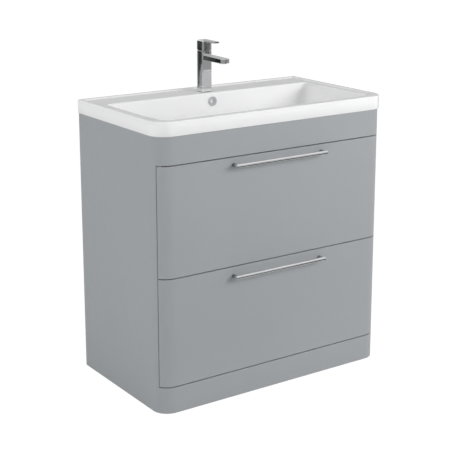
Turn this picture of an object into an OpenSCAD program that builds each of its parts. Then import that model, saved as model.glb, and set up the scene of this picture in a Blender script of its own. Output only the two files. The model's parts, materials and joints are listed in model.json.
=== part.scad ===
// Floor-standing bathroom vanity: a cabinet with two drawers, a ceramic basin and a lever tap.
// Millimetres. +X is to the right, +Y is towards the wall and +Z is up.
// The origin is on the floor, under the centre of the whole unit with its handles.

/* [Cabinet] */
// Width over the side panels
cab_w = 800; // [780:5:860]
// Depth from the drawer faces to the wall
cab_d = 456; // [450:2:480]
// Height of the cabinet under the basin
cab_h = 804; // [800:2:840]
// Radius of the rounded front corners
corner_r = 48; // [40:1:54]
// Thickness of the carcass boards
board_t = 18; // [16:1:19]
// Height of the plinth, and of the fascia under the basin
band_h = 79.5; // [70:0.5:84]
// Height of the nylon glides under the side panels
glide_h = 2; // [1:0.5:4]

/* [Drawers] */
// Thickness of the drawer fronts
front_t = 23; // [20:0.5:24]
// Gap between a drawer front and the carcass behind it
seam = 2; // [1:0.5:3]
// Gap above and below each drawer front
front_gap = 3; // [2:0.5:4]
// Thickness of the drawer box sides
side_t = 15; // [12:1:16]
// Thickness of the drawer bases
base_t = 8; // [6:1:10]
// Length of the drawer boxes and of their slides
box_len = 400; // [350:10:410]
// Height of the upper drawer box
upper_box_h = 175; // [120:5:190]
// Height of the lower drawer box
lower_box_h = 200; // [120:5:240]
// Width of the trap cut-out in the upper drawer
trap_w = 220; // [160:10:260]
// Width taken by each drawer slide
slide_w = 12.7; // [12:0.1:13]

/* [Handles] */
// Distance between the two fixing screws of a handle
handle_pitch = 312; // [224:8:480]
// Diameter of the handle bar
bar_d = 12; // [10:1:14]
// Distance from the drawer face to the middle of the bar
bar_off = 22; // [20:1:30]
// Distance from the top of the upper drawer front down to its bar
upper_bar_drop = 21; // [16:1:40]
// Distance from the top of the lower drawer front down to its bar
lower_bar_drop = 26; // [16:1:40]

/* [Basin] */
// How far the basin stands over the cabinet at the front and sides
overhang = 4; // [0:1:8]
// Height of the basin rim
rim_h = 41; // [36:1:50]
// Width of the raised lip around the basin
lip_w = 20; // [14:1:22]
// Height of the lip above the tap deck
lip_h = 3; // [2:0.5:4]
// Width of the bowl at the deck
bowl_w = 730; // [680:5:740]
// Depth of the bowl below the deck
bowl_h = 112; // [90:1:115]
// Slant of the bowl's side walls, as an inset at its floor
bowl_inset = 30; // [20:1:40]

/* [Tap] */
// Width of the square tap body
tap_w = 34; // [32:1:36]
// Height of the tap above the deck
tap_h = 159; // [150:1:170]
// Reach of the spout from the tap's centre
spout_l = 120; // [100:1:130]
// Reach of the lever from the tap's centre
lever_l = 70; // [50:1:80]
// Angle by which the lever lifts
lift = 20; // [15:1:22]

/* [Hidden] */
$fn = 64;
eps = 0.01;

cabinet_grey = [0.60, 0.62, 0.63];
carcass_grey = [0.66, 0.67, 0.68];
ceramic_white = [0.94, 0.94, 0.94];
chrome_silver = [0.78, 0.79, 0.80];
steel_silver = [0.66, 0.67, 0.68];
rubber_black = [0.12, 0.12, 0.12];
nylon_white = [0.90, 0.90, 0.88];
birch = [0.85, 0.74, 0.55];

// Plan positions
handle_proj = bar_off + bar_d / 2;
yf = handle_proj - (cab_d + handle_proj) / 2;
yb = yf + cab_d;
carcass_y = yf + front_t + seam;
inner_x = cab_w / 2 - board_t;

// Heights
drawer_h = (cab_h - 2 * band_h - 3 * front_gap) / 2;
lower_z = band_h + front_gap;
upper_z = lower_z + drawer_h + front_gap;
upper_bar_z = upper_z + drawer_h - upper_bar_drop;
lower_bar_z = lower_z + drawer_h - lower_bar_drop;
fascia_z = cab_h - band_h;
bottom_z = band_h - board_t;
back_rail_h = 100;
fascia_rail_h = 34;
rear_rail_inset = 40;

// Dowels join the boards between the side panels to those panels: [y, z] of each
dowel_d = 8;
dowel_l = 30;
dowel_in = 12;
upper_rail_z = cab_h - back_rail_h;
dowel_spots = [
    [carcass_y + 60, bottom_z + board_t / 2], [yb - 90, bottom_z + board_t / 2],
    [yb - board_t / 2, upper_rail_z + 22], [yb - board_t / 2, cab_h - 22],
    [yb - board_t / 2, band_h + 22], [yb - board_t / 2, band_h + back_rail_h - 22],
    [yb - rear_rail_inset - board_t / 2, bottom_z / 2],
    [carcass_y + board_t / 2, fascia_z + fascia_rail_h / 2]
];
wall_hole_r = 3.5;
wall_hole_x = 300;
block_size = 20;
glide_d = 16;
glide_y = 60;

// Drawer boxes
box_w = 2 * (inner_x - slide_w);
box_y = yf + front_t;
box_in_x = box_w / 2 - side_t;
upper_box_z = upper_z + 22;
lower_box_z = lower_z + 16;
groove = 6;
base_lift = 10;
slide_lift = 70;
slide_y = carcass_y + 2;
steel_t = 1.2;
trap_y = yb - 272;
liner_t = 12;
liner_h = 120;
screw_d = 4;
screw_head_d = 9;
screw_head_t = 2.5;
post_d = 10;
bar_end = 6;
buffer_d = 8;
buffer_t = seam - 0.2;

// Basin
basin_w = cab_w + 2 * overhang;
basin_y = yf - overhang;
basin_r = corner_r + overhang;
rim_z = cab_h + rim_h;
deck_z = rim_z - lip_h;
deck_t = 13;
skirt_t = 12;
wall_t = 10;
floor_t = 12;
bowl_y0 = yf + 24;
bowl_y1 = yb - 113;
bowl_z = deck_z - bowl_h;
bowl_front_inset = 46;
bowl_back_inset = 12;
bowl_front_r = 28;
bowl_back_r = 9;
floor_front_r = 44;
floor_back_r = 30;
waste_y = yb - 197;
boss_r = 36;
boss_z = bowl_z - floor_t - 14;
waste_hole_r = 22.5;
tail_r = 20.95;
tail_bore_r = 17;
tail_z = boss_z - 64;
relief_h = 2;
relief_depth = 0.6;
flange_r = 32;
flange_t = 2.5;
washer_t = 4;
backnut_t = 10;
stem_r = 4;
stem_clear = 0.06;
plug_r = 30;
overflow_z = 816;
overflow_r = 8.5;
overflow_ring_r = 15;
back_slope = atan(bowl_back_inset / bowl_h);
overflow_y = bowl_y1 - (deck_z - overflow_z) * bowl_back_inset / bowl_h;
channel_y = bowl_y1 + 12;

// Tap
tap_y = yb - 72;
tap_r = 3.5;
seal_t = 1;
tap_z = deck_z + seal_t;
base_w = 42;
base_h = 14;
tap_top = deck_z + tap_h;
split_z = deck_z + 126;
split_gap = 1;
spout_z = deck_z + 99;
spout_t = 16;
spout_tip_t = 13.5;
spout_w = 30;
spout_tip_r = 8;
cartridge_r = 12.5;
cartridge_bore_r = 13;
cartridge_z = split_z - 42;
cartridge_h = 28;
spindle_r = 4.95;
spindle_bore_r = 5;
lever_plate_t = 6;
lever_w = 27;
lever_tip_w = 21;
lever_t = 4;
handle_chamfer = 3;
handle_wall = 3;
pivot_y = tap_y + 8;
pivot_z = split_z + 5;
pin_r = 1.5;
pin_clear = 0.05;
lug_r = 4.2;
inlet_x = 8;
inlet_y = tap_y - 3;
inlet_r = 4.6;
inlet_l = 16;
stud_r = 3;
stud_y = tap_y + 11;
tap_hole_r = 17.5;

// Plan outline with two rounded front corners
module plan(w, y0, y1, r) {
    translate([-w / 2 + r, y0]) square([w - 2 * r, r + eps]);
    translate([-w / 2, y0 + r]) square([w, y1 - y0 - r]);
    for (s = [-1, 1]) translate([s * (w / 2 - r), y0 + r]) circle(r);
}

// Rounded rectangle centred on the origin
module rounded(w, d, r) {
    square([w - 2 * r, d], center = true);
    square([w, d - 2 * r], center = true);
    for (x = [-1, 1], y = [-1, 1]) translate([x * (w / 2 - r), y * (d / 2 - r)]) circle(r);
}

// Slice of the cabinet's plan between two depths, as a board of the given height
module front_board(y1, z, h) {
    translate([0, 0, z]) linear_extrude(h) intersection() {
        plan(cab_w, yf, yb, corner_r);
        translate([-cab_w, yf - 1]) square([2 * cab_w, y1 - yf + 1]);
    }
}

module ring(r_out, r_in, h) {
    difference() {
        cylinder(h = h, r = r_out);
        translate([0, 0, -1]) cylinder(h = h + 2, r = r_in);
    }
}

// ---- Carcass ----

module dowel_rods() {
    for (s = [-1, 1], spot = dowel_spots)
        translate([s * (inner_x + dowel_in - dowel_l / 2), spot[0], spot[1]])
            rotate([0, 90, 0]) cylinder(h = dowel_l, d = dowel_d, center = true);
}

module glide_pins(r, h) {
    for (s = [-1, 1], y = [carcass_y + glide_y, yb - glide_y])
        translate([s * (cab_w / 2 - board_t / 2), y, 0]) cylinder(h = h, r = r);
}

module side_panel(s) {
    color(cabinet_grey) difference() {
        translate([0, 0, glide_h]) linear_extrude(cab_h - glide_h) intersection() {
            plan(cab_w, yf, yb, corner_r);
            translate([s > 0 ? inner_x : -cab_w / 2, carcass_y]) square([board_t, yb - carcass_y]);
        }
        dowel_rods();
        glide_pins(3, 22);
    }
}

module left_side_panel() side_panel(-1);
module right_side_panel() side_panel(1);

module cross_board(y, z, t, h, tone) {
    color(tone) difference() {
        translate([-inner_x, y, z]) cube([2 * inner_x, t, h]);
        dowel_rods();
    }
}

module bottom_panel() {
    cross_board(carcass_y, bottom_z, yb - carcass_y - board_t, board_t, carcass_grey);
}

module top_fascia() {
    color(cabinet_grey) front_board(carcass_y, fascia_z, band_h);
}

module fascia_rail() {
    cross_board(carcass_y, fascia_z, board_t, fascia_rail_h, carcass_grey);
}

module plinth_front() {
    color(cabinet_grey) front_board(carcass_y, glide_h, band_h - glide_h);
}

module plinth_rear_rail() {
    y = yb - rear_rail_inset - board_t;
    cross_board(y, glide_h, board_t, bottom_z - glide_h, carcass_grey);
}

module upper_back_rail() {
    difference() {
        cross_board(yb - board_t, upper_rail_z, board_t, back_rail_h, carcass_grey);
        for (s = [-1, 1]) translate([s * wall_hole_x, yb + 1, upper_rail_z + back_rail_h / 2])
            rotate([90, 0, 0]) cylinder(h = board_t + 2, r = wall_hole_r);
    }
}

module lower_back_rail() {
    cross_board(yb - board_t, band_h, board_t, back_rail_h, carcass_grey);
}

// Glue blocks behind the fascia and the plinth, one in each corner
module corner_blocks() {
    color(birch) for (s = [-1, 1], z = [fascia_z + fascia_rail_h, bottom_z - block_size])
        translate([s * (inner_x - block_size / 2), carcass_y, z])
            linear_extrude(block_size) translate([-block_size / 2, 0]) difference() {
                square(block_size);
                translate([s < 0 ? block_size : 0, block_size]) circle(r = block_size * 0.6);
            }
}

module carcass_dowels() {
    color(birch) dowel_rods();
}

module floor_glides() {
    color(nylon_white) {
        glide_pins(3, 20);
        glide_pins(glide_d / 2, glide_h);
    }
}

// ---- Drawer slides ----

// Pair of C-shaped slide members along Y; x values count inwards from the side panels
module slide_pair(web_x, lip_x0, lip_x1, half_h, y, z) {
    for (s = [0, 1]) mirror([s, 0, 0]) translate([-inner_x, y, z]) {
        translate([web_x, 0, -half_h]) cube([steel_t, box_len, 2 * half_h]);
        for (k = [-half_h, half_h - steel_t])
            translate([lip_x0, 0, k]) cube([lip_x1 - lip_x0, box_len, steel_t]);
    }
}

module cabinet_slides(box_z) {
    color(steel_silver) slide_pair(0, 0, 9.5, 22.5, slide_y, box_z + slide_lift);
}

// The middle members carry the ball races of both sides
module middle_slides(box_z) {
    z = box_z + slide_lift;
    color(steel_silver) {
        slide_pair(3.4, 3.4, 11, 19.4, slide_y, z);
        for (s = [0, 1], k = [-1, 1], race = [[4.6, 19.4, 1.5], [6.6, 15.9, 2.3]])
            mirror([s, 0, 0]) translate([race[0] - inner_x, slide_y + 20, z])
                mirror([0, 0, k > 0 ? 0 : 1]) translate([0, 0, race[1]])
                    cube([3.6, box_len - 60, race[2]]);
    }
}

module drawer_slides(box_z) {
    color(steel_silver)
        slide_pair(slide_w - steel_t, 6.2, slide_w, 15.5, slide_y, box_z + slide_lift);
}

module upper_cabinet_slides() cabinet_slides(upper_box_z);
module lower_cabinet_slides() cabinet_slides(lower_box_z);
module upper_middle_slides() middle_slides(upper_box_z);
module lower_middle_slides() middle_slides(lower_box_z);
module upper_drawer_slides() drawer_slides(upper_box_z);
module lower_drawer_slides() drawer_slides(lower_box_z);

// ---- Drawers ----

module handle_screw_holes(z) {
    for (s = [-1, 1]) translate([s * handle_pitch / 2, yf + front_t + 1, z])
        rotate([90, 0, 0]) cylinder(h = front_t + 2, d = screw_d);
}

module drawer_front(z, bar_z) {
    color(cabinet_grey) difference() {
        front_board(yf + front_t, z, drawer_h);
        handle_screw_holes(bar_z);
    }
}

module box_side(s, z, h) {
    color(carcass_grey) difference() {
        translate([s > 0 ? box_in_x : -box_w / 2, box_y, z]) cube([side_t, box_len, h]);
        translate([-box_in_x - groove, box_y - 1, z + base_lift])
            cube([2 * (box_in_x + groove), box_len + 2, base_t]);
    }
}

module base_plate(z) {
    translate([-box_in_x - groove, box_y, z + base_lift])
        cube([2 * (box_in_x + groove), box_len, base_t]);
}

module back_board(z, h) {
    translate([-box_in_x, box_y + box_len - side_t, z + base_lift + base_t])
        cube([2 * box_in_x, side_t, h - base_lift - base_t]);
}

// Space kept free for the trap, open to the back
module trap_space(grow, z) {
    translate([-trap_w / 2 - grow, trap_y - grow, z - 50])
        cube([trap_w + 2 * grow, cab_d, upper_box_h + 100]);
}

module handle_bar(z) {
    length = handle_pitch + 2 * bar_end;
    color(chrome_silver) translate([-length / 2, yf - bar_off, z]) rotate([0, 90, 0])
        cylinder(h = length, d = bar_d);
}

// Each post is scooped to the bar and drilled for its screw
module handle_posts(z) {
    color(chrome_silver) difference() {
        for (s = [-1, 1]) translate([s * handle_pitch / 2, yf, z]) rotate([90, 0, 0])
            cylinder(h = bar_off, d = post_d);
        translate([-cab_w / 2, yf - bar_off, z]) rotate([0, 90, 0]) cylinder(h = cab_w, d = bar_d);
        for (s = [-1, 1]) translate([s * handle_pitch / 2, yf + 1, z]) rotate([90, 0, 0])
            cylinder(h = 12 + 1, d = screw_d);
    }
}

module handle_screws(z) {
    color(steel_silver) for (s = [-1, 1])
        translate([s * handle_pitch / 2, yf + front_t, z]) rotate([90, 0, 0]) {
            cylinder(h = front_t + 12, d = screw_d);
            translate([0, 0, -screw_head_t]) cylinder(h = screw_head_t, d = screw_head_d);
        }
}

module front_buffers(z) {
    color(nylon_white) for (s = [-1, 1], k = [30, drawer_h - 30])
        translate([s * (inner_x + 6), yf + front_t + buffer_t, z + k]) rotate([90, 0, 0])
            cylinder(h = buffer_t, d = buffer_d);
}

module upper_drawer_front() drawer_front(upper_z, upper_bar_z);
module upper_drawer_left_side() box_side(-1, upper_box_z, upper_box_h);
module upper_drawer_right_side() box_side(1, upper_box_z, upper_box_h);

module upper_drawer_back() {
    color(carcass_grey) difference() {
        back_board(upper_box_z, upper_box_h);
        trap_space(liner_t, upper_box_z);
    }
}

module upper_drawer_base() {
    color(carcass_grey) difference() {
        base_plate(upper_box_z);
        trap_space(0, upper_box_z);
    }
}

// Three boards around the trap space, standing on the drawer base
module upper_trap_liner() {
    z = upper_box_z + base_lift + base_t;
    y1 = box_y + box_len;
    color(carcass_grey) difference() {
        translate([-trap_w / 2 - liner_t, trap_y - liner_t, z])
            cube([trap_w + 2 * liner_t, y1 - trap_y + liner_t, liner_h]);
        trap_space(0, upper_box_z);
    }
}

module upper_handle_bar() handle_bar(upper_bar_z);
module upper_handle_posts() handle_posts(upper_bar_z);
module upper_handle_screws() handle_screws(upper_bar_z);
module upper_front_buffers() front_buffers(upper_z);

module lower_drawer_front() drawer_front(lower_z, lower_bar_z);
module lower_drawer_left_side() box_side(-1, lower_box_z, lower_box_h);
module lower_drawer_right_side() box_side(1, lower_box_z, lower_box_h);

module lower_drawer_back() {
    color(carcass_grey) back_board(lower_box_z, lower_box_h);
}

module lower_drawer_base() {
    color(carcass_grey) base_plate(lower_box_z);
}

module lower_handle_bar() handle_bar(lower_bar_z);
module lower_handle_posts() handle_posts(lower_bar_z);
module lower_handle_screws() handle_screws(lower_bar_z);
module lower_front_buffers() front_buffers(lower_z);

// ---- Basin and waste ----

// One corner post of the bowl's form: a thin disc of radius r, inset from the bowl's edges
module bowl_corner(s, back, inset_x, inset_front, inset_back, r, z) {
    translate([s * (bowl_w / 2 - inset_x - r),
               back ? bowl_y1 - inset_back - r : bowl_y0 + inset_front + r, z])
        cylinder(h = eps, r = r, $fn = 32);
}

// The bowl's tapered form, grown outwards by a wall thickness
module bowl_form(grow, z_floor, z_top) {
    hull() for (s = [-1, 1], back = [false, true]) {
        bowl_corner(s, back, -grow, -grow, -grow, (back ? bowl_back_r : bowl_front_r) + grow, z_top);
        bowl_corner(s, back, bowl_inset - grow, bowl_front_inset - grow, bowl_back_inset - grow,
                    (back ? floor_back_r : floor_front_r) + grow, z_floor);
    }
}

// Cast duct that carries the overflow down the back of the bowl and under its floor
module overflow_duct(grow) {
    half = 14 + grow;
    translate([-half, channel_y - grow, boss_z + 4])
        cube([2 * half, 7 + 2 * grow, overflow_z + 6 + grow - boss_z]);
    translate([-half, waste_y, boss_z + 6 - grow])
        cube([2 * half, channel_y + 7 + grow - waste_y, 7 + grow]);
}

module overflow_bore(r, h) {
    translate([0, overflow_y, overflow_z]) rotate([-90 - back_slope, 0, 0])
        translate([0, 0, -4]) cylinder(h = h, r = r);
}

module basin() {
    color(ceramic_white) difference() {
        union() {
            difference() {
                translate([0, 0, cab_h]) linear_extrude(rim_h) plan(basin_w, basin_y, yb, basin_r);
                translate([0, 0, cab_h - 1]) linear_extrude(deck_z - deck_t - cab_h + 1)
                    plan(basin_w - 2 * skirt_t, basin_y + skirt_t, yb - skirt_t, basin_r - skirt_t);
            }
            bowl_form(wall_t, bowl_z - floor_t, deck_z - 4);
            translate([0, waste_y, boss_z]) cylinder(h = bowl_z - boss_z, r = boss_r);
            overflow_duct(6);
        }
        translate([0, 0, deck_z]) linear_extrude(lip_h + 1)
            plan(basin_w - 2 * lip_w, basin_y + lip_w, yb - lip_w, basin_r - lip_w);
        bowl_form(0, bowl_z, deck_z + eps);
        overflow_duct(0);
        overflow_bore(overflow_r + 1.5, 30);
        translate([0, waste_y, boss_z - 1]) cylinder(h = bowl_z - boss_z + 2, r = waste_hole_r);
        translate([0, tap_y, deck_z - deck_t - 1]) cylinder(h = deck_t + 2, r = tap_hole_r);
    }
}

module overflow_ring() {
    color(chrome_silver) translate([0, overflow_y, overflow_z]) rotate([90 - back_slope, 0, 0]) {
        ring(overflow_ring_r, overflow_r, 3);
        translate([0, 0, -8]) ring(overflow_r + 1.4, overflow_r, 8);
    }
}

// Flange, threaded tail with a run-out groove below the nut, and the plug stem's guide
module waste_body() {
    color(chrome_silver) translate([0, waste_y, 0]) {
        difference() {
            union() {
                translate([0, 0, bowl_z]) cylinder(h = flange_t, r = flange_r);
                translate([0, 0, tail_z]) cylinder(h = bowl_z - tail_z + 1, r = tail_r);
            }
            translate([0, 0, tail_z - 1]) cylinder(h = bowl_z - tail_z + 5, r = tail_bore_r);
            translate([-5, -tail_r - 1, boss_z + 6]) cube([10, 2 * tail_r + 2, 8]);
            translate([0, 0, boss_z - washer_t - backnut_t - relief_h])
                ring(tail_r + 1, tail_r - relief_depth, relief_h);
        }
        translate([0, 0, boss_z - 6]) {
            ring(7, stem_r + stem_clear, 8);
            for (a = [0 : 120 : 240]) rotate(a) translate([6, -1.5, 0])
                cube([tail_bore_r - 5.5, 3, 8]);
        }
    }
}

module waste_washer() {
    color(rubber_black) translate([0, waste_y, boss_z - washer_t])
        ring(flange_r, tail_r + 0.2, washer_t);
}

module waste_backnut() {
    color(chrome_silver) translate([0, waste_y, boss_z - washer_t - backnut_t]) difference() {
        cylinder(h = backnut_t, r = flange_r - 2, $fn = 6);
        translate([0, 0, -1]) cylinder(h = backnut_t + 2, r = tail_r + 0.2);
    }
}

// Domed cap on a stem, shown closed
module waste_plug() {
    z = bowl_z + flange_t + 0.6;
    color(chrome_silver) translate([0, waste_y, z]) {
        rotate_extrude() polygon([[0, 0], [plug_r, 0], [plug_r, 2], [plug_r - 3, 3.5], [0, 5]]);
        translate([0, 0, boss_z - 12 - z]) cylinder(h = z - boss_z + 12 + 1, r = stem_r);
    }
}

module plug_seal() {
    color(rubber_black) translate([0, waste_y, bowl_z + flange_t + 0.1])
        ring(plug_r - 3, plug_r - 8, 0.5);
}

// ---- Tap ----

// The spout's plan: straight sides with a rounded tip
module spout_plan() {
    tip = tap_y - spout_l;
    translate([-spout_w / 2, tip + spout_tip_r]) square([spout_w, spout_l - spout_tip_r]);
    translate([-spout_w / 2 + spout_tip_r, tip])
        square([spout_w - 2 * spout_tip_r, spout_tip_r + eps]);
    for (s = [-1, 1]) translate([s * (spout_w / 2 - spout_tip_r), tip + spout_tip_r])
        circle(spout_tip_r);
}

// The spout's side view: flat below, falling to a thinner tip above
module spout_side() {
    tip = tap_y - spout_l;
    translate([-spout_w, 0, 0]) rotate([90, 0, 90]) linear_extrude(2 * spout_w)
        polygon([[tip - 1, spout_z], [tap_y, spout_z], [tap_y, spout_z + spout_t],
                 [tap_y - tap_w / 2, spout_z + spout_t], [tip - 1, spout_z + spout_tip_t]]);
}

module tap_body() {
    aerator_y = tap_y - spout_l + 15;
    color(chrome_silver) difference() {
        union() {
            translate([0, tap_y, tap_z]) linear_extrude(split_z - tap_z) rounded(tap_w, tap_w, tap_r);
            hull() {
                translate([0, tap_y, tap_z]) linear_extrude(2)
                    rounded(base_w, base_w, tap_r + 2, $fn = 32);
                translate([0, tap_y, tap_z + base_h]) linear_extrude(eps)
                    rounded(tap_w, tap_w, tap_r, $fn = 32);
            }
            intersection() {
                translate([0, 0, spout_z]) linear_extrude(spout_t) spout_plan();
                spout_side();
            }
        }
        translate([0, tap_y, cartridge_z - 1]) cylinder(h = split_z, r = cartridge_bore_r);
        for (s = [-1, 1]) translate([s * inlet_x, inlet_y, tap_z - 1])
            cylinder(h = inlet_l + 1, r = inlet_r);
        translate([0, stud_y, tap_z - 1]) cylinder(h = inlet_l + 1, r = stud_r);
        translate([0, aerator_y, spout_z - 1]) cylinder(h = 8 + 1, r = 11);
    }
}

module tap_base_seal() {
    color(rubber_black) translate([0, tap_y, deck_z]) ring(base_w / 2 - 0.8, 15, seal_t);
}

module tap_cartridge() {
    color(nylon_white) translate([0, tap_y, cartridge_z]) difference() {
        union() {
            cylinder(h = cartridge_h, r = cartridge_r);
            translate([0, 0, cartridge_h]) cylinder(h = 6, r = 8);
        }
        translate([0, 0, 14]) cylinder(h = cartridge_h, r = spindle_bore_r);
    }
}

module cartridge_nut() {
    color(steel_silver) translate([0, tap_y, cartridge_z + cartridge_h])
        ring(cartridge_bore_r - 0.1, 8.2, 6);
}

module tap_aerator() {
    color(chrome_silver) translate([0, tap_y - spout_l + 15, spout_z - 1.5]) difference() {
        cylinder(h = 9, r = 10.9);
        translate([0, 0, -1]) cylinder(h = 4, r = 8.5);
    }
}

module tap_stud() {
    color(steel_silver) translate([0, stud_y, deck_z - 44])
        cylinder(h = tap_z + inlet_l - deck_z + 44, r = stud_r);
}

// Horseshoe that leaves room for the supply tails and takes the stud
module horseshoe(r, t) {
    difference() {
        translate([0, tap_y, 0]) cylinder(h = t, r = r);
        translate([-14, tap_y - r - 1, -1]) cube([28, r + 6, t + 2]);
        translate([0, stud_y, -1]) cylinder(h = t + 2, r = stud_r + 0.2);
    }
}

module tap_clamp_gasket() {
    color(rubber_black) translate([0, 0, deck_z - deck_t - 3]) horseshoe(21, 3);
}

module tap_clamp_washer() {
    color(steel_silver) translate([0, 0, deck_z - deck_t - 5]) horseshoe(20.5, 2);
}

module tap_stud_nut() {
    color(steel_silver) translate([0, stud_y, deck_z - deck_t - 11]) difference() {
        cylinder(h = 6, r = 5.8, $fn = 6);
        translate([0, 0, -1]) cylinder(h = 8, r = stud_r);
    }
}

// Turns in the cartridge and carries the lever's pin on a lug behind the tap's axis
module tap_spindle() {
    disc_z = cartridge_z + cartridge_h + 6.4;
    lug_w = 8;
    color(steel_silver) difference() {
        union() {
            translate([0, tap_y, disc_z - 18]) cylinder(h = 19, r = spindle_r);
            translate([0, tap_y, disc_z]) cylinder(h = 2, r = 9);
            translate([-lug_w / 2, pivot_y - 3, disc_z + 1])
                cube([lug_w, 6, pivot_z - disc_z - 1]);
            translate([-lug_w / 2, pivot_y, pivot_z]) rotate([0, 90, 0])
                cylinder(h = lug_w, r = lug_r);
        }
        translate([-lug_w, pivot_y, pivot_z]) rotate([0, 90, 0])
            cylinder(h = 2 * lug_w, r = pin_r + pin_clear);
    }
}

module pin_rod(length) {
    translate([-length / 2, pivot_y, pivot_z]) rotate([0, 90, 0]) cylinder(h = length, r = pin_r);
}

// Hollow block with a chamfered top and a flat lever; its heel is cut back to clear the body
module tap_handle() {
    block_z = split_z + split_gap;
    cavity = tap_w - 2 * handle_wall;
    color(chrome_silver) difference() {
        union() {
            translate([0, tap_y, block_z]) linear_extrude(tap_top - handle_chamfer - block_z)
                rounded(tap_w, tap_w, tap_r);
            hull() {
                translate([0, tap_y, tap_top - handle_chamfer - eps]) linear_extrude(eps)
                    rounded(tap_w, tap_w, tap_r, $fn = 32);
                translate([0, tap_y, tap_top - eps]) linear_extrude(eps)
                    rounded(tap_w - 2 * handle_chamfer, tap_w - 2 * handle_chamfer, 1, $fn = 32);
            }
            translate([0, 0, tap_top - lever_t]) linear_extrude(lever_t) {
                polygon([[-lever_w / 2, tap_y], [lever_w / 2, tap_y],
                         [lever_tip_w / 2, tap_y - lever_l + 4],
                         [-lever_tip_w / 2, tap_y - lever_l + 4]]);
                translate([-lever_tip_w / 2 + 4, tap_y - lever_l]) square([lever_tip_w - 8, 6]);
                for (s = [-1, 1]) translate([s * (lever_tip_w / 2 - 4), tap_y - lever_l + 4])
                    circle(4);
            }
        }
        translate([0, tap_y, block_z - 1])
            linear_extrude(tap_top - lever_plate_t - 4 - block_z + 1) rounded(cavity, cavity, 4);
        translate([-tap_w, pivot_y, block_z]) rotate([lift + 3, 0, 0])
            translate([0, 0, -tap_w]) cube([2 * tap_w, tap_w, tap_w]);
        pin_rod(tap_w - 3);
        translate([0, tap_y, block_z + 14]) rotate([-90, 0, 0]) cylinder(h = tap_w, r = 2);
    }
}

module lever_pin() {
    color(steel_silver) pin_rod(tap_w - 3);
}

module lever_grub_screw() {
    color(steel_silver) translate([0, tap_y + tap_w / 2 - 3.6, split_z + split_gap + 14])
        rotate([-90, 0, 0]) cylinder(h = 3, r = 1.95);
}

left_side_panel();
right_side_panel();
bottom_panel();
top_fascia();
fascia_rail();
plinth_front();
plinth_rear_rail();
upper_back_rail();
lower_back_rail();
corner_blocks();
carcass_dowels();
floor_glides();
upper_cabinet_slides();
lower_cabinet_slides();
upper_middle_slides();
lower_middle_slides();
upper_drawer_slides();
lower_drawer_slides();
upper_drawer_front();
upper_drawer_left_side();
upper_drawer_right_side();
upper_drawer_back();
upper_drawer_base();
upper_trap_liner();
upper_handle_bar();
upper_handle_posts();
upper_handle_screws();
upper_front_buffers();
lower_drawer_front();
lower_drawer_left_side();
lower_drawer_right_side();
lower_drawer_back();
lower_drawer_base();
lower_handle_bar();
lower_handle_posts();
lower_handle_screws();
lower_front_buffers();
basin();
overflow_ring();
waste_body();
waste_washer();
waste_backnut();
waste_plug();
plug_seal();
tap_body();
tap_base_seal();
tap_cartridge();
cartridge_nut();
tap_aerator();
tap_stud();
tap_clamp_gasket();
tap_clamp_washer();
tap_stud_nut();
tap_spindle();
tap_handle();
lever_pin();
lever_grub_screw();
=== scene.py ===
"""Looks of the bathroom vanity: painted cabinet, glazed basin and chrome lever tap.

Metres, in the CAD model's frame: +X right, +Y towards the wall, +Z up.
"""

import json
import math

import bmesh
import bpy
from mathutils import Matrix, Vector


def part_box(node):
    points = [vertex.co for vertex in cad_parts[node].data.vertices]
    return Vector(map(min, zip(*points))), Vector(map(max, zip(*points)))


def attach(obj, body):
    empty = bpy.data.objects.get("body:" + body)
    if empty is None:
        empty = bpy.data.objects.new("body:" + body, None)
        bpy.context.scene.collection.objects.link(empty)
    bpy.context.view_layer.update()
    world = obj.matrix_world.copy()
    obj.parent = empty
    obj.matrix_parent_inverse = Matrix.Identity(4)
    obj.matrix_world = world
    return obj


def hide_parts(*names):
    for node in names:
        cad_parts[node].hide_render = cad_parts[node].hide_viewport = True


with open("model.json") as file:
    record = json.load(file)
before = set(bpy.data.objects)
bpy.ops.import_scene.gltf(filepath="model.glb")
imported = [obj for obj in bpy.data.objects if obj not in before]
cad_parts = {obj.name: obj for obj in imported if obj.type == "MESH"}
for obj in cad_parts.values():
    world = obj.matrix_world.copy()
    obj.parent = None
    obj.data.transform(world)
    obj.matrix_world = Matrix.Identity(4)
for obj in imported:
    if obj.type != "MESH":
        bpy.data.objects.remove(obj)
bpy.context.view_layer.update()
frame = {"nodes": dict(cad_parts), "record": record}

CAD = frame["nodes"]
MM = 0.001

# ---- Places taken from the frame ----

BASIN_LO, BASIN_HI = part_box("basin")
WASTE_LO, WASTE_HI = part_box("waste_body")
TAP_LO, TAP_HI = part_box("tap_body")
LEVER_LO, LEVER_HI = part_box("tap_handle")
SEAL_LO, SEAL_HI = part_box("tap_base_seal")
AERATOR_LO, AERATOR_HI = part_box("tap_aerator")
RING_LO, RING_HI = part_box("overflow_ring")
TAP_Y = (SEAL_LO.y + SEAL_HI.y) / 2
WASTE_Y = (WASTE_LO.y + WASTE_HI.y) / 2
CABINET_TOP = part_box("left_side_panel")[1].z

# ---- Mesh helpers ----

MERGE_REACH = 0.001 * MM
WELD_REACH = 0.02 * MM


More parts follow.
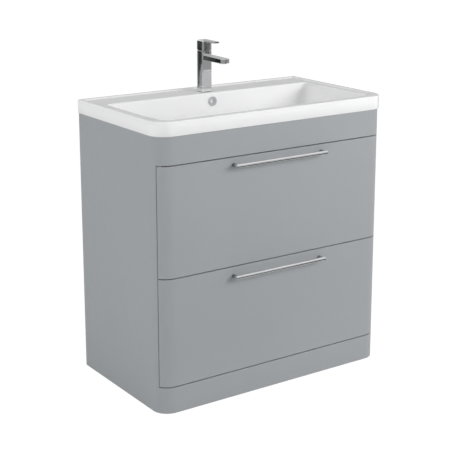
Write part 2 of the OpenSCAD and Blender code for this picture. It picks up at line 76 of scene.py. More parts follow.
def new_object(name, verts, faces, material, smooth_angle=40):
    """A mesh object with outward normals, smooth up to smooth_angle degrees."""
    mesh = bpy.data.meshes.new(name)
    mesh.from_pydata([tuple(v) for v in verts], [], faces)
    bm = bmesh.new()
    bm.from_mesh(mesh)
    bmesh.ops.remove_doubles(bm, verts=bm.verts, dist=MERGE_REACH)
    bmesh.ops.dissolve_degenerate(bm, edges=bm.edges, dist=MERGE_REACH)
    bmesh.ops.recalc_face_normals(bm, faces=bm.faces)
    bm.to_mesh(mesh)
    bm.free()
    mesh.shade_smooth()
    mesh.set_sharp_from_angle(angle=math.radians(smooth_angle))
    mesh.materials.append(material)
    obj = bpy.data.objects.new(name, mesh)
    bpy.context.scene.collection.objects.link(obj)
    return obj


def apply_modifiers(obj):
    """Bakes the object's modifiers into its mesh."""
    depsgraph = bpy.context.evaluated_depsgraph_get()
    mesh = bpy.data.meshes.new_from_object(obj.evaluated_get(depsgraph))
    obj.modifiers.clear()
    obj.data = mesh


def loft(name, rings, material, closed=False, smooth_angle=40):
    """Skins equally long point rings; a closed loft joins the last to the first, others get caps."""
    n = len(rings[0])
    verts = [p for ring in rings for p in ring]
    faces = []
    spans = len(rings) if closed else len(rings) - 1
    for k in range(spans):
        a = k * n
        b = (k + 1) % len(rings) * n
        for i in range(n):
            j = (i + 1) % n
            faces.append((a + i, a + j, b + j, b + i))
    if not closed:
        faces.append(tuple(range(n)))
        faces.append(tuple(range((len(rings) - 1) * n, len(rings) * n)))
    return new_object(name, verts, faces, material, smooth_angle)


def between(pair, t):
    """Value a share t of the way from the first of a pair to the second."""
    return pair[0] + (pair[1] - pair[0]) * t


def arc(cx, cy, r, start, stop, steps):
    """Points on an arc, angles in degrees."""
    return [
        (cx + r * math.cos(math.radians(a)), cy + r * math.sin(math.radians(a)))
        for a in (start + (stop - start) * k / steps for k in range(steps + 1))
    ]


def rounded_ring(x0, x1, y0, y1, r_front, r_back, z, steps=8, mids=6):
    """A rounded rectangle at height z, with extra points along its sides."""
    corners = [
        arc(x1 - r_front, y0 + r_front, r_front, -90, 0, steps),
        arc(x1 - r_back, y1 - r_back, r_back, 0, 90, steps),
        arc(x0 + r_back, y1 - r_back, r_back, 90, 180, steps),
        arc(x0 + r_front, y0 + r_front, r_front, 180, 270, steps),
    ]
    points = []
    for k, corner in enumerate(corners):
        points += corner
        a, b = Vector(corner[-1]), Vector(corners[(k + 1) % 4][0])
        points += [a.lerp(b, m / (mids + 1)) for m in range(1, mids + 1)]
    return [Vector((p[0], p[1], z)) for p in points]


def circle_towards(like, radius, centre_y, z):
    """Circle round x = 0, y = centre_y whose points look towards the points of another ring."""
    ring = []
    for p in like:
        d = Vector((p.x, p.y - centre_y)).normalized() * radius
        ring.append(Vector((d.x, centre_y + d.y, z)))
    return ring


def drill(name, radius, centre, length, material, up=False, steps=40):
    """A plain cutting cylinder along Y, or along Z if up."""
    turn = (2 * math.pi * k / steps for k in range(steps))
    circle = [(radius * math.cos(a), radius * math.sin(a)) for a in turn]
    rings = []
    for s in (-length / 2, length / 2):
        if up:
            rings.append([centre + Vector((x, y, s)) for x, y in circle])
        else:
            rings.append([centre + Vector((x, s, y)) for x, y in circle])
    return loft(name, rings, material)


def bevel(obj, width, angle=35):
    """Rounds the edges of a piece or a CAD node that are sharper than angle degrees."""
    weld = obj.modifiers.new("Weld", "WELD")
    weld.merge_threshold = WELD_REACH
    mod = obj.modifiers.new("Bevel", "BEVEL")
    mod.width = width
    mod.segments = 2
    mod.limit_method = "ANGLE"
    mod.angle_limit = math.radians(angle)
    mod.harden_normals = False
    normals = obj.modifiers.new("Normals", "WEIGHTED_NORMAL")
    normals.weight = 100
    normals.keep_sharp = True


def cut(obj, cutter, operation="DIFFERENCE"):
    """Boolean with a helper mesh, which is then removed."""
    mod = obj.modifiers.new("Cut", "BOOLEAN")
    mod.operation = operation
    mod.solver = "EXACT"
    mod.object = cutter
    apply_modifiers(obj)
    bpy.data.objects.remove(cutter)


def finish_piece(obj, body, slot, *nodes):
    """Rides a piece on its body and lets it stand for its CAD nodes."""
    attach(obj, body)
    if nodes:
        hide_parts(*nodes)


# ---- Materials ----

NOISE_LOW = 0.3
NOISE_HIGH = 0.7


class Surface:
    """A Principled material whose detail is built from noise in object space."""

    def __init__(self, name, color, roughness, metallic=0.0, specular=0.5):
        self.material = bpy.data.materials.new(name)
        self.material.use_nodes = True
        self.tree = self.material.node_tree
        self.shader = self.tree.nodes["Principled BSDF"]
        self.color = color
        self.shader.inputs["Base Color"].default_value = (*color, 1)
        self.shader.inputs["Roughness"].default_value = roughness
        self.shader.inputs["Metallic"].default_value = metallic
        self.shader.inputs["Specular IOR Level"].default_value = specular
        self.coords = self.tree.nodes.new("ShaderNodeTexCoord")
        self.normal = None

    def link(self, a, b):
        self.tree.links.new(a, b)

    def noise(self, scale, detail=3.0, stretch=(1, 1, 1), roughness=0.5):
        """Noise over the object's own coordinates, stretched by a factor for each axis."""
        mapping = self.tree.nodes.new("ShaderNodeMapping")
        mapping.inputs["Scale"].default_value = stretch
        self.link(self.coords.outputs["Object"], mapping.inputs["Vector"])
        noise = self.tree.nodes.new("ShaderNodeTexNoise")
        noise.inputs["Scale"].default_value = scale
        noise.inputs["Detail"].default_value = detail
        noise.inputs["Roughness"].default_value = roughness
        self.link(mapping.outputs["Vector"], noise.inputs["Vector"])
        return noise.outputs["Fac"]

    def span(self, value, low, high):
        """Maps noise, which keeps mostly to its middle range, to low..high."""
        node = self.tree.nodes.new("ShaderNodeMapRange")
        node.inputs["From Min"].default_value = NOISE_LOW
        node.inputs["From Max"].default_value = NOISE_HIGH
        node.inputs["To Min"].default_value = low
        node.inputs["To Max"].default_value = high
        self.link(value, node.inputs["Value"])
        return node.outputs["Result"]

    def vary_roughness(self, value, low, high):
        """Lets the roughness follow a noise value."""
        self.link(self.span(value, low, high), self.shader.inputs["Roughness"])

    def vary_color(self, value, dark, light):
        """Blends between the base colour scaled by dark and by light."""
        mix = self.tree.nodes.new("ShaderNodeMix")
        mix.data_type = "RGBA"
        mix.inputs["A"].default_value = (*(c * dark for c in self.color), 1)
        mix.inputs["B"].default_value = (*(min(1, c * light) for c in self.color), 1)
        self.link(self.span(value, 0, 1), mix.inputs["Factor"])
        self.link(mix.outputs["Result"], self.shader.inputs["Base Color"])

    def bump(self, value, depth, strength):
        """Adds a layer of bump, depth in metres, over the layers before it."""
        node = self.tree.nodes.new("ShaderNodeBump")
        node.inputs["Distance"].default_value = depth
        node.inputs["Strength"].default_value = strength
        self.link(value, node.inputs["Height"])
        if self.normal is not None:
            self.link(self.normal, node.inputs["Normal"])
        self.normal = node.outputs["Normal"]
        self.link(self.normal, self.shader.inputs["Normal"])


def cabinet_paint():
    """Satin grey lacquer with a faint orange peel."""
    s = Surface("cabinet_paint", (0.345, 0.361, 0.374), 0.42)
    s.vary_color(s.noise(3.0, 4.0), 0.985, 1.015)
    s.vary_roughness(s.noise(45.0, 3.0), 0.38, 0.46)
    s.bump(s.noise(700.0, 2.0), 0.00004, 0.5)
    s.bump(s.noise(22.0, 1.0), 0.00015, 0.35)
    return s.material


def carcass_board():
    """Grey melamine-faced board with a fine pressed texture."""
    s = Surface("carcass_board", (0.42, 0.435, 0.44), 0.5)
    s.vary_color(s.noise(420.0, 4.0), 0.94, 1.04)
    s.vary_roughness(s.noise(60.0, 3.0), 0.46, 0.58)
    s.bump(s.noise(1400.0, 3.0), 0.00008, 0.5)
    return s.material


def glazed_ceramic():
    """White glaze with the slight waviness of fired clay."""
    s = Surface("glazed_ceramic", (0.885, 0.886, 0.89), 0.1)
    s.shader.inputs["Coat Weight"].default_value = 0.35
    s.shader.inputs["Coat Roughness"].default_value = 0.04
    s.vary_color(s.noise(9.0, 3.0), 0.99, 1.01)
    s.vary_roughness(s.noise(30.0, 3.0), 0.08, 0.16)
    s.bump(s.noise(16.0, 2.0), 0.0006, 0.35)
    s.bump(s.noise(260.0, 2.0), 0.00003, 0.3)
    return s.material


def chrome(name, low, high):
    """Polished chrome with faint smears in its gloss."""
    s = Surface(name, (0.86, 0.868, 0.88), low, metallic=1.0)
    s.vary_roughness(s.noise(90.0, 5.0), low, high)
    s.vary_color(s.noise(35.0, 3.0), 0.97, 1.02)
    s.bump(s.noise(320.0, 2.0), 0.00002, 0.08)
    return s.material


def post_chrome_painted_shade():
    """Satin chrome for the handle posts with turning lines across them; its dark base colour is
    painted shade.
    """
    s = Surface("post_chrome_painted_shade", (0.34, 0.345, 0.35), 0.24, metallic=1.0)
    lines = s.noise(1.0, 4.0, stretch=(20, 2600, 20))
    s.vary_roughness(lines, 0.18, 0.3)
    s.bump(lines, 0.00003, 0.3)
    s.vary_color(s.noise(50.0, 3.0), 0.96, 1.03)
    return s.material


def plated_steel():
    """Bright zinc on rolled steel, with rolling lines along Y."""
    s = Surface("plated_steel", (0.56, 0.58, 0.60), 0.32, metallic=1.0)
    lines = s.noise(1.0, 4.0, stretch=(900, 8, 900))
    s.vary_roughness(lines, 0.28, 0.36)
    s.vary_color(s.noise(60.0, 2.0), 0.97, 1.02)
    s.bump(lines, 0.00002, 0.25)
    return s.material


def brass():
    """Machined brass with fine turning marks."""
    s = Surface("machined_brass", (0.70, 0.52, 0.24), 0.25, metallic=1.0)
    s.vary_roughness(s.noise(300.0, 3.0), 0.18, 0.34)
    s.bump(s.noise(1.0, 2.0, stretch=(60, 60, 4200)), 0.00004, 0.4)
    return s.material


def rubber():
    """Matte black rubber with a moulded grain."""
    s = Surface("black_rubber", (0.022, 0.022, 0.023), 0.7, specular=0.3)
    s.vary_color(s.noise(140.0, 3.0), 0.8, 1.4)
    s.vary_roughness(s.noise(220.0, 3.0), 0.6, 0.82)
    s.bump(s.noise(1800.0, 2.0), 0.00005, 0.6)
    return s.material


def nylon():
    """Natural white nylon with a soft moulded skin."""
    s = Surface("moulded_nylon", (0.76, 0.76, 0.72), 0.45)
    s.shader.inputs["Subsurface Weight"].default_value = 0.1
    s.vary_color(s.noise(80.0, 3.0), 0.97, 1.02)
    s.vary_roughness(s.noise(150.0, 2.0), 0.4, 0.52)
    s.bump(s.noise(900.0, 2.0), 0.00004, 0.5)
    return s.material


def beech():
    """Planed beech: long grain along Z and short dark flecks."""
    s = Surface("beech", (0.60, 0.42, 0.25), 0.55)
    grain = s.noise(1.0, 5.0, stretch=(130, 130, 9), roughness=0.65)
    s.vary_color(grain, 0.78, 1.14)
    s.vary_roughness(grain, 0.48, 0.66)
    s.bump(grain, 0.0001, 0.5)
    return s.material


SLOTS = {
    "cabinet_paint": cabinet_paint(),
    "carcass_board": carcass_board(),
    "ceramic": glazed_ceramic(),
    "chrome": chrome("polished_chrome", 0.02, 0.055),
    "slide_steel": plated_steel(),
    "brass": brass(),
    "rubber": rubber(),
    "nylon": nylon(),
    "beech": beech(),
}
# The handle posts get chrome darkened by painted shade.
POST_CHROME_PAINTED_SHADE = post_chrome_painted_shade()
POST_NODES = ("upper_handle_posts", "lower_handle_posts")
NODE_SLOT = {s["node"]: s["material_slot"] for s in frame["record"]["subparts"]}

# ---- CAD nodes that stay: their materials and small rounds on their edges ----

BOARD_EDGE = 0.7 * MM
SMALL_EDGE = 0.3 * MM
BOARD_SLOTS = ("cabinet_paint", "carcass_board")
SEAMLESS = ("left_side_panel", "right_side_panel", "top_fascia", "plinth_front",
            "upper_drawer_front", "lower_drawer_front")


def dress_cad_nodes():
    """Gives every CAD node its material, and its edges a small round unless it is seamless."""
    for name, obj in CAD.items():
        obj.data.materials.clear()
        # The handle posts take the chrome whose dark colour is painted shade.
        obj.data.materials.append(POST_CHROME_PAINTED_SHADE if name in POST_NODES else SLOTS[NODE_SLOT[name]])
        if name in SEAMLESS:
            continue
        bevel(obj, BOARD_EDGE if NODE_SLOT[name] in BOARD_SLOTS else SMALL_EDGE)


# ---- Basin ----

LIP_WIDTH = 20 * MM
LIP_STEP = 3 * MM
LIP_SLOPE = 8 * MM
LIP_EDGE = 3 * MM
FOOT_EDGE = 1.5 * MM
SUPPORT = 0.4 * MM  # keeps flat strips flat next to a round
FLUSH_REACH = 150 * MM  # where the flush front strip has faded out
RIM_FRONT = 28 * MM
TAP_DECK = 113 * MM
DECK_Z = BASIN_HI.z - LIP_STEP
DECK_THICK = 13 * MM
CORNER_FRONT = 52 * MM
CORNER_BACK = 5 * MM
CORNER_LEAST = 1.5 * MM
SKIRT = 12 * MM
BOWL_HALF = 365 * MM
BOWL_DEPTH = 112 * MM
BOWL_EDGE = 5 * MM
BOWL_COVE = 26 * MM
BOWL_FRONT_R = (28 * MM, 44 * MM)  # at the deck and at the floor
BOWL_BACK_R = (9 * MM, 30 * MM)
FLOOR_INSET = (30 * MM, 46 * MM, 12 * MM)  # sides, front and back
WALL = 10 * MM
WALL_FOOT = 4 * MM
WALL_HEAD = 0.1 * BOWL_DEPTH
FLOOR_THICK = 12 * MM
FLOOR_FALL = (0.2 * MM, 0.5 * MM)  # at the boss and at the hole
WASTE_HOLE = 22.5 * MM
WASTE_BOSS = 36 * MM
BOSS_DROP = 14 * MM
OVERFLOW_HOLE = 10 * MM
TAP_HOLE = 17.5 * MM
DRILL_LENGTH = 40 * MM
LIP_STEPS = 6
WALL_STEPS = 6
COVE_STEPS = 8
BASIN_SMOOTH_ANGLE = 50
DUCT_HALF = 20 * MM
DUCT_FRONT = 112 * MM
DUCT_BACK = 88 * MM
DUCT_BOTTOM = 124 * MM
DUCT_TOP = 14 * MM
DUCT_CORNERS = (1 * MM, 7 * MM)
DUCT_STEPS = ((5 * MM, 0), (1 * MM, 2 * MM), (0, 6 * MM))  # inset and height over its bottom


def bowl_ring(depth, grow, z):
    """Ring of the bowl's wall at a depth under the deck, moved outwards by grow."""
    t = depth / BOWL_DEPTH
    side, front, back = (inset * t for inset in FLOOR_INSET)
    r_front = between(BOWL_FRONT_R, t) + grow
    r_back = between(BOWL_BACK_R, t) + grow
    half = BOWL_HALF - side + grow
    y0 = BASIN_LO.y + RIM_FRONT + front - grow
    y1 = BASIN_HI.y - TAP_DECK - back + grow
    return rounded_ring(-half, half, y0, y1, max(r_front, MM), max(r_back, MM), z)


def outer_ring(inset, z):
    """Ring of the basin's outline moved inwards."""
    r_front = CORNER_FRONT - inset
    r_back = max(CORNER_BACK - inset, CORNER_LEAST)
    return rounded_ring(
        BASIN_LO.x + inset, BASIN_HI.x - inset, BASIN_LO.y + inset, BASIN_HI.y - inset,
        r_front, r_back, z)


def flush_front(ring, share=1.0):
    """Lifts a ring's front by a share of the lip's step, fading out towards the back."""
    y0, y1 = BASIN_LO.y + RIM_FRONT, BASIN_LO.y + FLUSH_REACH
    for p in ring:
        t = max(0.0, min(1.0, (y1 - p.y) / (y1 - y0)))
        p.z += LIP_STEP * share * t * t * (3 - 2 * t)
    return ring


def waste_ring(radius, z, like):
    """Circle round the waste, see circle_towards."""
    return circle_towards(like, radius, WASTE_Y, z)


def fillet(radius, steps=5):
    """(offset, drop) pairs down a convex quarter round, from its flat to its upright face."""
    pairs = []
    for k in range(steps + 1):
        a = math.radians(90 * k / steps)
        pairs.append((radius * (1 - math.sin(a)), radius * (1 - math.cos(a))))
    return pairs


def underside_rings(floor_ring, under):
    """From the waste hole out over the bowl's underside and down the skirt to the cabinet's top."""
    return [
        waste_ring(WASTE_HOLE, under - BOSS_DROP, floor_ring),
        waste_ring(WASTE_BOSS, under - BOSS_DROP, floor_ring),
        waste_ring(WASTE_BOSS, under, floor_ring),
        bowl_ring(BOWL_DEPTH, WALL - WALL_FOOT, under),
        bowl_ring(BOWL_DEPTH, WALL, under + WALL_FOOT),
        bowl_ring(WALL_HEAD, WALL, DECK_Z - DECK_THICK),
        outer_ring(SKIRT, DECK_Z - DECK_THICK),
        outer_ring(SKIRT, CABINET_TOP),
        outer_ring(FOOT_EDGE, CABINET_TOP),
        outer_ring(0, CABINET_TOP + FOOT_EDGE),
    ]


def rim_rings():
    """Up round the lip's edge, over the lip and down its slope to the deck."""
    top = BASIN_HI.z
    rings = [outer_ring(inset, top - drop) for inset, drop in reversed(fillet(LIP_EDGE))]
    rings.append(outer_ring(LIP_EDGE + SUPPORT, top))
    rings.append(outer_ring(LIP_WIDTH - LIP_SLOPE - SUPPORT, top))
    for k in range(LIP_STEPS + 1):
        t = k / LIP_STEPS
        drop = LIP_STEP * (1 - math.cos(math.pi * t)) / 2
        ring = outer_ring(LIP_WIDTH - LIP_SLOPE * (1 - t), top - drop)
        rings.append(flush_front(ring, drop / LIP_STEP))
    rings.append(flush_front(outer_ring(LIP_WIDTH + SUPPORT, DECK_Z)))
    rings.append(flush_front(bowl_ring(0, BOWL_EDGE + SUPPORT, DECK_Z)))
    return rings


def bowl_rings(floor_ring, floor):
    """Over the bowl's edge, down its wall and cove, and across the floor to the waste."""
    rings = [flush_front(bowl_ring(drop, out, DECK_Z - drop)) for out, drop in fillet(BOWL_EDGE)]
    wall = (BOWL_EDGE, BOWL_DEPTH - BOWL_COVE)
    for k in range(1, WALL_STEPS + 1):
        t = k / WALL_STEPS
        depth = between(wall, t)
        rings.append(flush_front(bowl_ring(depth, 0, DECK_Z - depth), 1 - t))
    for k in range(1, COVE_STEPS + 1):
        a = math.radians(90 * k / COVE_STEPS)
        depth = wall[1] + BOWL_COVE * math.sin(a)
        rings.append(bowl_ring(depth, -BOWL_COVE * (1 - math.cos(a)), DECK_Z - depth))
    rings.append(waste_ring(WASTE_BOSS, floor - FLOOR_FALL[0], floor_ring))
    rings.append(waste_ring(WASTE_HOLE, floor - FLOOR_FALL[1], floor_ring))
    return rings


def make_basin():
    """One casting, skinned round from the waste over the rim and back, with its two drilled holes."""
    ceramic = SLOTS["ceramic"]
    floor = DECK_Z - BOWL_DEPTH
    floor_ring = bowl_ring(BOWL_DEPTH, -BOWL_COVE, floor)
    rings = underside_rings(floor_ring, floor - FLOOR_THICK)
    rings += rim_rings()
    rings += bowl_rings(floor_ring, floor)
    basin = loft("basin_casting", rings, ceramic, closed=True, smooth_angle=BASIN_SMOOTH_ANGLE)
    overflow_place = (RING_LO + RING_HI) / 2
    cut(basin, drill("overflow_drill", OVERFLOW_HOLE, overflow_place, DRILL_LENGTH, ceramic))
    tap_place = Vector((0, TAP_Y, DECK_Z))
    cut(basin, drill("tap_drill", TAP_HOLE, tap_place, DRILL_LENGTH, ceramic, up=True))
    basin.data.set_sharp_from_angle(angle=math.radians(BASIN_SMOOTH_ANGLE))
    finish_piece(basin, "carcass", "ceramic", "basin")


def make_overflow_duct():
    """Cast duct behind the bowl that takes the overflow down to the waste."""
    y0, y1 = BASIN_HI.y - DUCT_FRONT, BASIN_HI.y - DUCT_BACK
    bottom, top = BASIN_HI.z - DUCT_BOTTOM, BASIN_HI.z - DUCT_TOP
    sections = [(inset, bottom + rise) for inset, rise in DUCT_STEPS] + [(0, top)]
    rings = [
        rounded_ring(-DUCT_HALF + inset, DUCT_HALF - inset, y0, y1 - inset, *DUCT_CORNERS, z)
        for inset, z in sections
    ]
    duct = loft("overflow_duct", rings, SLOTS["ceramic"], smooth_angle=BASIN_SMOOTH_ANGLE)
    finish_piece(duct, "carcass", "ceramic")


# ---- Tap ----

TAP_HALF = 17 * MM
TAP_CORNER = 3.5 * MM
BASE_HALF = 21 * MM
BASE_CORNER = 5.5 * MM
FLARE_START = 1.2 * MM
FLARE_HEIGHT = 14 * MM
FLARE_CURVE = 1.9
FLARE_STEPS = 10
FOOT_CHAMFER = 0.6 * MM
TOP_CHAMFER = 0.4 * MM
CARTRIDGE_BORE = 13 * MM
CARTRIDGE_DEPTH = 43 * MM
SPOUT_HALF = 15 * MM
SPOUT_TIP_R = 8 * MM
SPOUT_BOTTOM = DECK_Z + 99 * MM
SPOUT_THICK = (16 * MM, 13.5 * MM)  # at the root and at the tip
SPOUT_SOFT = 0.9 * MM
SPOUT_TIP_STEPS = 10
AERATOR_BORE = 11 * MM
AERATOR_DEPTH = 8 * MM
TAP_EDGE = 0.5 * MM
TAP_BEVEL_ANGLE = 50
TAP_SMOOTH_ANGLE = 20


def square_ring(half, corner, z):
    """Rounded square round the tap's axis."""
    return rounded_ring(-half, half, TAP_Y - half, TAP_Y + half, corner, corner, z, mids=3)


def spout_outline(inset):
    """Plan of the spout: square root inside the body, rounded tip."""
    tip = TAP_LO.y + inset
    half, r = SPOUT_HALF - inset, SPOUT_TIP_R - inset
    points = [(half, TAP_Y)]
    points += reversed(arc(half - r, tip + r, r, -90, 0, SPOUT_TIP_STEPS))
    points += reversed(arc(-half + r, tip + r, r, 180, 270, SPOUT_TIP_STEPS))
    points += [(-half, TAP_Y)]
    return points


def spout_top(y):
    """Height of the spout's top, which falls from the column's face to the tip."""
    face = TAP_Y - TAP_HALF
    t = max(0.0, min(1.0, (face - y) / (face - TAP_LO.y)))
    return SPOUT_BOTTOM + between(SPOUT_THICK, t)


def make_spout():
    """The spout as a loft of its plan, thinner towards the tip, with softened edges."""
    softening = ((1, 0), (0.3, 0.3), (0, 1))
    rings = []
    for inset, rise in softening:
        plan = spout_outline(inset * SPOUT_SOFT)
        rings.append([Vector((x, y, SPOUT_BOTTOM + rise * SPOUT_SOFT)) for x, y in plan])
    for inset, fall in reversed(softening):
        plan = spout_outline(inset * SPOUT_SOFT)
        rings.append([Vector((x, y, spout_top(y) - fall * SPOUT_SOFT)) for x, y in plan])
    return loft("spout_form", rings, SLOTS["chrome"])


def column_rings():
    """From the foot up the concave flare to the column's top, and down the cartridge seat."""
    foot, top = TAP_LO.z, TAP_HI.z
    rings = [
        square_ring(BASE_HALF - FOOT_CHAMFER, BASE_CORNER, foot),
        square_ring(BASE_HALF, BASE_CORNER, foot + FOOT_CHAMFER),
        square_ring(BASE_HALF, BASE_CORNER, foot + FLARE_START),
    ]
    for k in range(1, FLARE_STEPS + 1):
        t = k / FLARE_STEPS
        swell = (1 - t) ** FLARE_CURVE
        half = between((TAP_HALF, BASE_HALF), swell)
        corner = between((TAP_CORNER, BASE_CORNER), swell)
        rings.append(square_ring(half, corner, foot + between((FLARE_START, FLARE_HEIGHT), t)))
    rings.append(square_ring(TAP_HALF, TAP_CORNER, top - TOP_CHAMFER))
    rings.append(square_ring(TAP_HALF - TOP_CHAMFER, TAP_CORNER, top))
    seat = circle_towards(rings[-1], CARTRIDGE_BORE, TAP_Y, top)
    rings += [seat, circle_towards(seat, CARTRIDGE_BORE, TAP_Y, top - CARTRIDGE_DEPTH)]
    return rings


def make_tap_body():
    """Square column with a concave foot, an open cartridge seat and a flat spout."""
    metal = SLOTS["chrome"]
    body = loft("tap_casting", column_rings(), metal)
    spout = make_spout()
    seat_top = Vector((0, TAP_Y, TAP_HI.z))
    cut(spout, drill("seat_drill", CARTRIDGE_BORE, seat_top, 2 * CARTRIDGE_DEPTH, metal, up=True))
    cut(body, spout, "UNION")
    outlet = (AERATOR_LO + AERATOR_HI) / 2
    outlet.z = SPOUT_BOTTOM
    cut(body, drill("aerator_drill", AERATOR_BORE, outlet, 2 * AERATOR_DEPTH, metal, up=True))
    body.data.shade_smooth()
    body.data.set_sharp_from_angle(angle=math.radians(TAP_SMOOTH_ANGLE))
    bevel(body, TAP_EDGE, TAP_BEVEL_ANGLE)
    finish_piece(body, "carcass", "chrome", "tap_body")


# ---- Stage: floor, light and camera ----

CAMERA_PLACE = (-1.971, -2.838, 1.441)
CAMERA_YAW = 34.50
CAMERA_PITCH = 13.56
CAMERA_LENS = 91.6
CAMERA_SHIFT = -0.12
CAMERA_SENSOR = 36
CAMERA_FAR = 100
LIGHTS = (  # name, place, aim, size, watts
    ("key", (1.9, -3.7, 2.2), (0, 0, 0.45), (2.4, 2.0), 86),
    ("fill", (-3.7, 0.1, 1.8), (0, 0, 0.5), (2.0, 2.0), 53),
    ("right_accent", (2.0, -2.0, 1.7), (0.35, -0.2, 0.75), (0.8, 0.8), 13),
    ("top", (0, 0.2, 3.8), (0, 0, 0.8), (2.4, 2.0), 8),
)
WHITE = (1, 1, 1, 1)
SKY_DIFFUSE = 0.42
SKY_HORIZON = 0.5
SKY_ZENITH = 1.1
SKY_ZENITH_UP = 0.8
FLOOR_HALF = 15
FLOOR_GLOW = 0.9
FLOOR_GLOW_STRENGTH = 1.08
FLOOR_IN_MIRROR = 0.72
SIDE_FLAG_DISTANCE = 0.9
SPOUT_FLAG_DISTANCE = 0.88
FRONT_FLAG_DISTANCE = 1.1
SIDE_FLAG_TONE = 0.045
SIDE_FLAG_OVER = 20 * MM  # over the lever's top
SIDE_FLAG_EDGE = (  # y from the tap's axis and height over its foot
    (1.4 * TAP_HALF, 6 * MM), (4 * MM, 22 * MM), (0, 58 * MM), (-TAP_HALF - 2 * MM, 92 * MM),
)
LEVER_FLAG_TONE = 0.04
MAT_TONE = 0.04
MAT_X = (-1.2, 2.2)
MAT_Y = (-2.3, -0.45)
MAT_Z = 0.01
# Reflector cards as (from, to, tone): SPOUT_TONES along Y, the stripes along X.
SPOUT_TONES = ((153 * MM, 118 * MM, 0.14), (118 * MM, 84 * MM, 0.07), (84 * MM, 30 * MM, 0.02))
TIP_STRIPES = ((-9 * MM, -5 * MM, 0.04), (-1.5 * MM, 1.5 * MM, 0.05), (5 * MM, 7 * MM, 0.04))
FRONT_STRIPES = ((-12 * MM, -1 * MM, 0.12), (-1 * MM, 4 * MM, 0.35), (4 * MM, 9 * MM, 0.09))


def make_camera():
    """Camera on the photo's side of the part, looking slightly down."""
    data = bpy.data.cameras.new("camera")
    data.lens = CAMERA_LENS
    data.sensor_width = CAMERA_SENSOR
    data.shift_y = CAMERA_SHIFT
    data.clip_end = CAMERA_FAR
    camera = bpy.data.objects.new("camera", data)
    bpy.context.scene.collection.objects.link(camera)
    camera.location = CAMERA_PLACE
    camera.rotation_euler = (math.radians(90 - CAMERA_PITCH), 0, -math.radians(CAMERA_YAW))
    bpy.context.scene.camera = camera


def area_light(name, place, aim, size, power):
    """Rectangular light that shiny surfaces don't mirror."""
    data = bpy.data.lights.new(name, "AREA")
    data.shape = "RECTANGLE"
    data.size, data.size_y = size
    data.energy = power
    light = bpy.data.objects.new(name, data)
    bpy.context.scene.collection.objects.link(light)
    light.location = place
    light.visible_glossy = False
    direction = Vector(aim) - Vector(place)
    light.rotation_euler = direction.to_track_quat("-Z", "Y").to_euler()


def level_corners(x0, x1, y0, y1, z):
    """Corners of a level rectangle."""
    return [(x0, y0, z), (x1, y0, z), (x1, y1, z), (x0, y1, z)]


def make_floor():
    """Pale floor that looks nearly white, and a little duller in the mirror of the chrome."""
    s = Surface("studio_floor", (0.86, 0.86, 0.86), 0.6, specular=0.2)
    s.vary_color(s.noise(2.0, 3.0), 0.995, 1.005)
    nodes = s.tree.nodes
    path = nodes.new("ShaderNodeLightPath")
    share = nodes.new("ShaderNodeMath")
    share.operation = "MULTIPLY"
    share.inputs[1].default_value = FLOOR_GLOW
    s.link(path.outputs["Is Camera Ray"], share.inputs[0])
    glow = nodes.new("ShaderNodeEmission")
    glow.inputs["Strength"].default_value = FLOOR_GLOW_STRENGTH
    camera_mix = nodes.new("ShaderNodeMixShader")
    s.link(share.outputs[0], camera_mix.inputs[0])
    s.link(s.shader.outputs[0], camera_mix.inputs[1])
    s.link(glow.outputs[0], camera_mix.inputs[2])
    dull = nodes.new("ShaderNodeBsdfDiffuse")
    dull.inputs["Color"].default_value = (FLOOR_IN_MIRROR, FLOOR_IN_MIRROR, FLOOR_IN_MIRROR, 1)
    mirror_mix = nodes.new("ShaderNodeMixShader")
    s.link(path.outputs["Is Glossy Ray"], mirror_mix.inputs[0])
    s.link(camera_mix.outputs[0], mirror_mix.inputs[1])
    s.link(dull.outputs[0], mirror_mix.inputs[2])
    s.link(mirror_mix.outputs[0], nodes["Material Output"].inputs["Surface"])
    corners = level_corners(-FLOOR_HALF, FLOOR_HALF, -FLOOR_HALF, FLOOR_HALF, 0)
    floor = new_object("studio_floor", corners, [(0, 1, 2, 3)], s.material)


def reflector_card(name, corners, tone):
    """A card that only mirror-like surfaces see."""
    s = Surface(name, (tone, tone, tone), 0.9, specular=0.0)
    card = new_object(name, corners, [tuple(range(len(corners)))], s.material)
    card.visible_camera = False
    card.visible_diffuse = False
    card.visible_shadow = False


def mirrored(point, normal_axis, distance):
    """Where a camera ray lands that bounces off a flat tap face at the given point."""
    ray = (Vector(point) - Vector(CAMERA_PLACE)).normalized()
    ray[normal_axis] = -ray[normal_axis]
    return Vector(point) + ray * (distance / abs(ray[normal_axis]))


def side_flag():
    """Dark card that the tap's left face mirrors, cut back where the face stays light."""
    x, top = -TAP_HALF, LEVER_HI.z + SIDE_FLAG_OVER
    outline = [(x, TAP_Y + y, TAP_LO.z + z) for y, z in SIDE_FLAG_EDGE]
    back, front = outline[0][1], outline[-1][1]
    outline += [(x, front, top), (x, back, top)]
    corners = [mirrored(p, 0, SIDE_FLAG_DISTANCE) for p in outline]
    reflector_card("side_flag", corners, SIDE_FLAG_TONE)


def spout_flags():
    """Cards for the spout's left side, darker towards the tip."""
    x = -TAP_HALF
    low, high = TAP_LO.z + 88 * MM, TAP_HI.z
    for k, (y0, y1, tone) in enumerate(SPOUT_TONES):
        outline = [(x, y0, low), (x, y1, low), (x, y1, high), (x, y0, high)]
        corners = [mirrored(p, 0, SPOUT_FLAG_DISTANCE) for p in outline]
        reflector_card("spout_flag_" + str(k), corners, tone)


def front_flag(name, y, x0, x1, z0, z1, tone):
    """Card mirrored by the given part of a tap face that looks along -Y."""
    outline = [(x0, y, z0), (x1, y, z0), (x1, y, z1), (x0, y, z1)]
    corners = [mirrored(p, 1, FRONT_FLAG_DISTANCE) for p in outline]
    reflector_card(name, corners, tone)


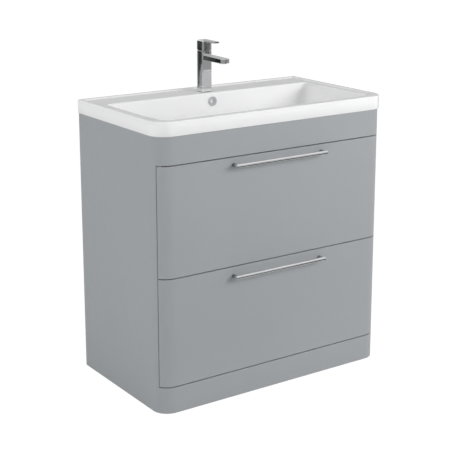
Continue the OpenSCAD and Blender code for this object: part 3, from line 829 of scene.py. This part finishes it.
def front_flags():
    """Grey cards with light gaps for the tap's upper front, spout tip and lever tip."""
    low, high = TAP_HI.z - 14 * MM, LEVER_HI.z - 4 * MM
    for k, (x0, x1, tone) in enumerate(FRONT_STRIPES):
        front_flag("front_flag_" + str(k), TAP_Y - TAP_HALF, x0, x1, low, high, tone)
    low, high = TAP_LO.z + 94 * MM, TAP_HI.z - 6 * MM
    for k, (x0, x1, tone) in enumerate(TIP_STRIPES):
        front_flag("tip_flag_" + str(k), TAP_LO.y, x0, x1, low, high, tone)
    low, high = LEVER_HI.z - 6 * MM, LEVER_HI.z
    front_flag("lever_flag", LEVER_LO.y, -11 * MM, 9 * MM, low, high, LEVER_FLAG_TONE)


def floor_flag():
    """Dark mat that darkens the undersides of the handle bars."""
    reflector_card("floor_flag", level_corners(*MAT_X, *MAT_Y, MAT_Z), MAT_TONE)


def make_world():
    """White for the camera, dimmer for diffuse light, brighter overhead for reflections."""
    world = bpy.data.worlds.new("studio")
    bpy.context.scene.world = world
    world.use_nodes = True
    tree = world.node_tree
    nodes, link = tree.nodes, tree.links.new
    diffuse = nodes["Background"]
    diffuse.inputs["Strength"].default_value = SKY_DIFFUSE
    diffuse.inputs["Color"].default_value = WHITE
    sky = nodes.new("ShaderNodeBackground")
    coords = nodes.new("ShaderNodeTexCoord")
    split = nodes.new("ShaderNodeSeparateXYZ")
    height = nodes.new("ShaderNodeMapRange")
    height.inputs["From Min"].default_value = 0.0
    height.inputs["From Max"].default_value = SKY_ZENITH_UP
    height.inputs["To Min"].default_value = SKY_HORIZON
    height.inputs["To Max"].default_value = SKY_ZENITH
    link(coords.outputs["Generated"], split.inputs[0])
    link(split.outputs["Z"], height.inputs["Value"])
    link(height.outputs["Result"], sky.inputs["Strength"])
    seen = nodes.new("ShaderNodeBackground")
    seen.inputs["Color"].default_value = WHITE
    seen.inputs["Strength"].default_value = 1.0
    path = nodes.new("ShaderNodeLightPath")
    glossy_mix = nodes.new("ShaderNodeMixShader")
    camera_mix = nodes.new("ShaderNodeMixShader")
    link(path.outputs["Is Glossy Ray"], glossy_mix.inputs[0])
    link(diffuse.outputs[0], glossy_mix.inputs[1])
    link(sky.outputs[0], glossy_mix.inputs[2])
    link(path.outputs["Is Camera Ray"], camera_mix.inputs[0])
    link(glossy_mix.outputs[0], camera_mix.inputs[1])
    link(seen.outputs[0], camera_mix.inputs[2])
    link(camera_mix.outputs[0], nodes["World Output"].inputs["Surface"])


def make_stage():
    """World, floor, lights, reflector cards and camera."""
    bpy.context.scene.view_settings.view_transform = "Standard"
    make_world()
    make_floor()
    for light in LIGHTS:
        area_light(*light)
    side_flag()
    spout_flags()
    front_flags()
    floor_flag()
    make_camera()


dress_cad_nodes()
make_basin()
make_overflow_duct()
make_tap_body()
make_stage()
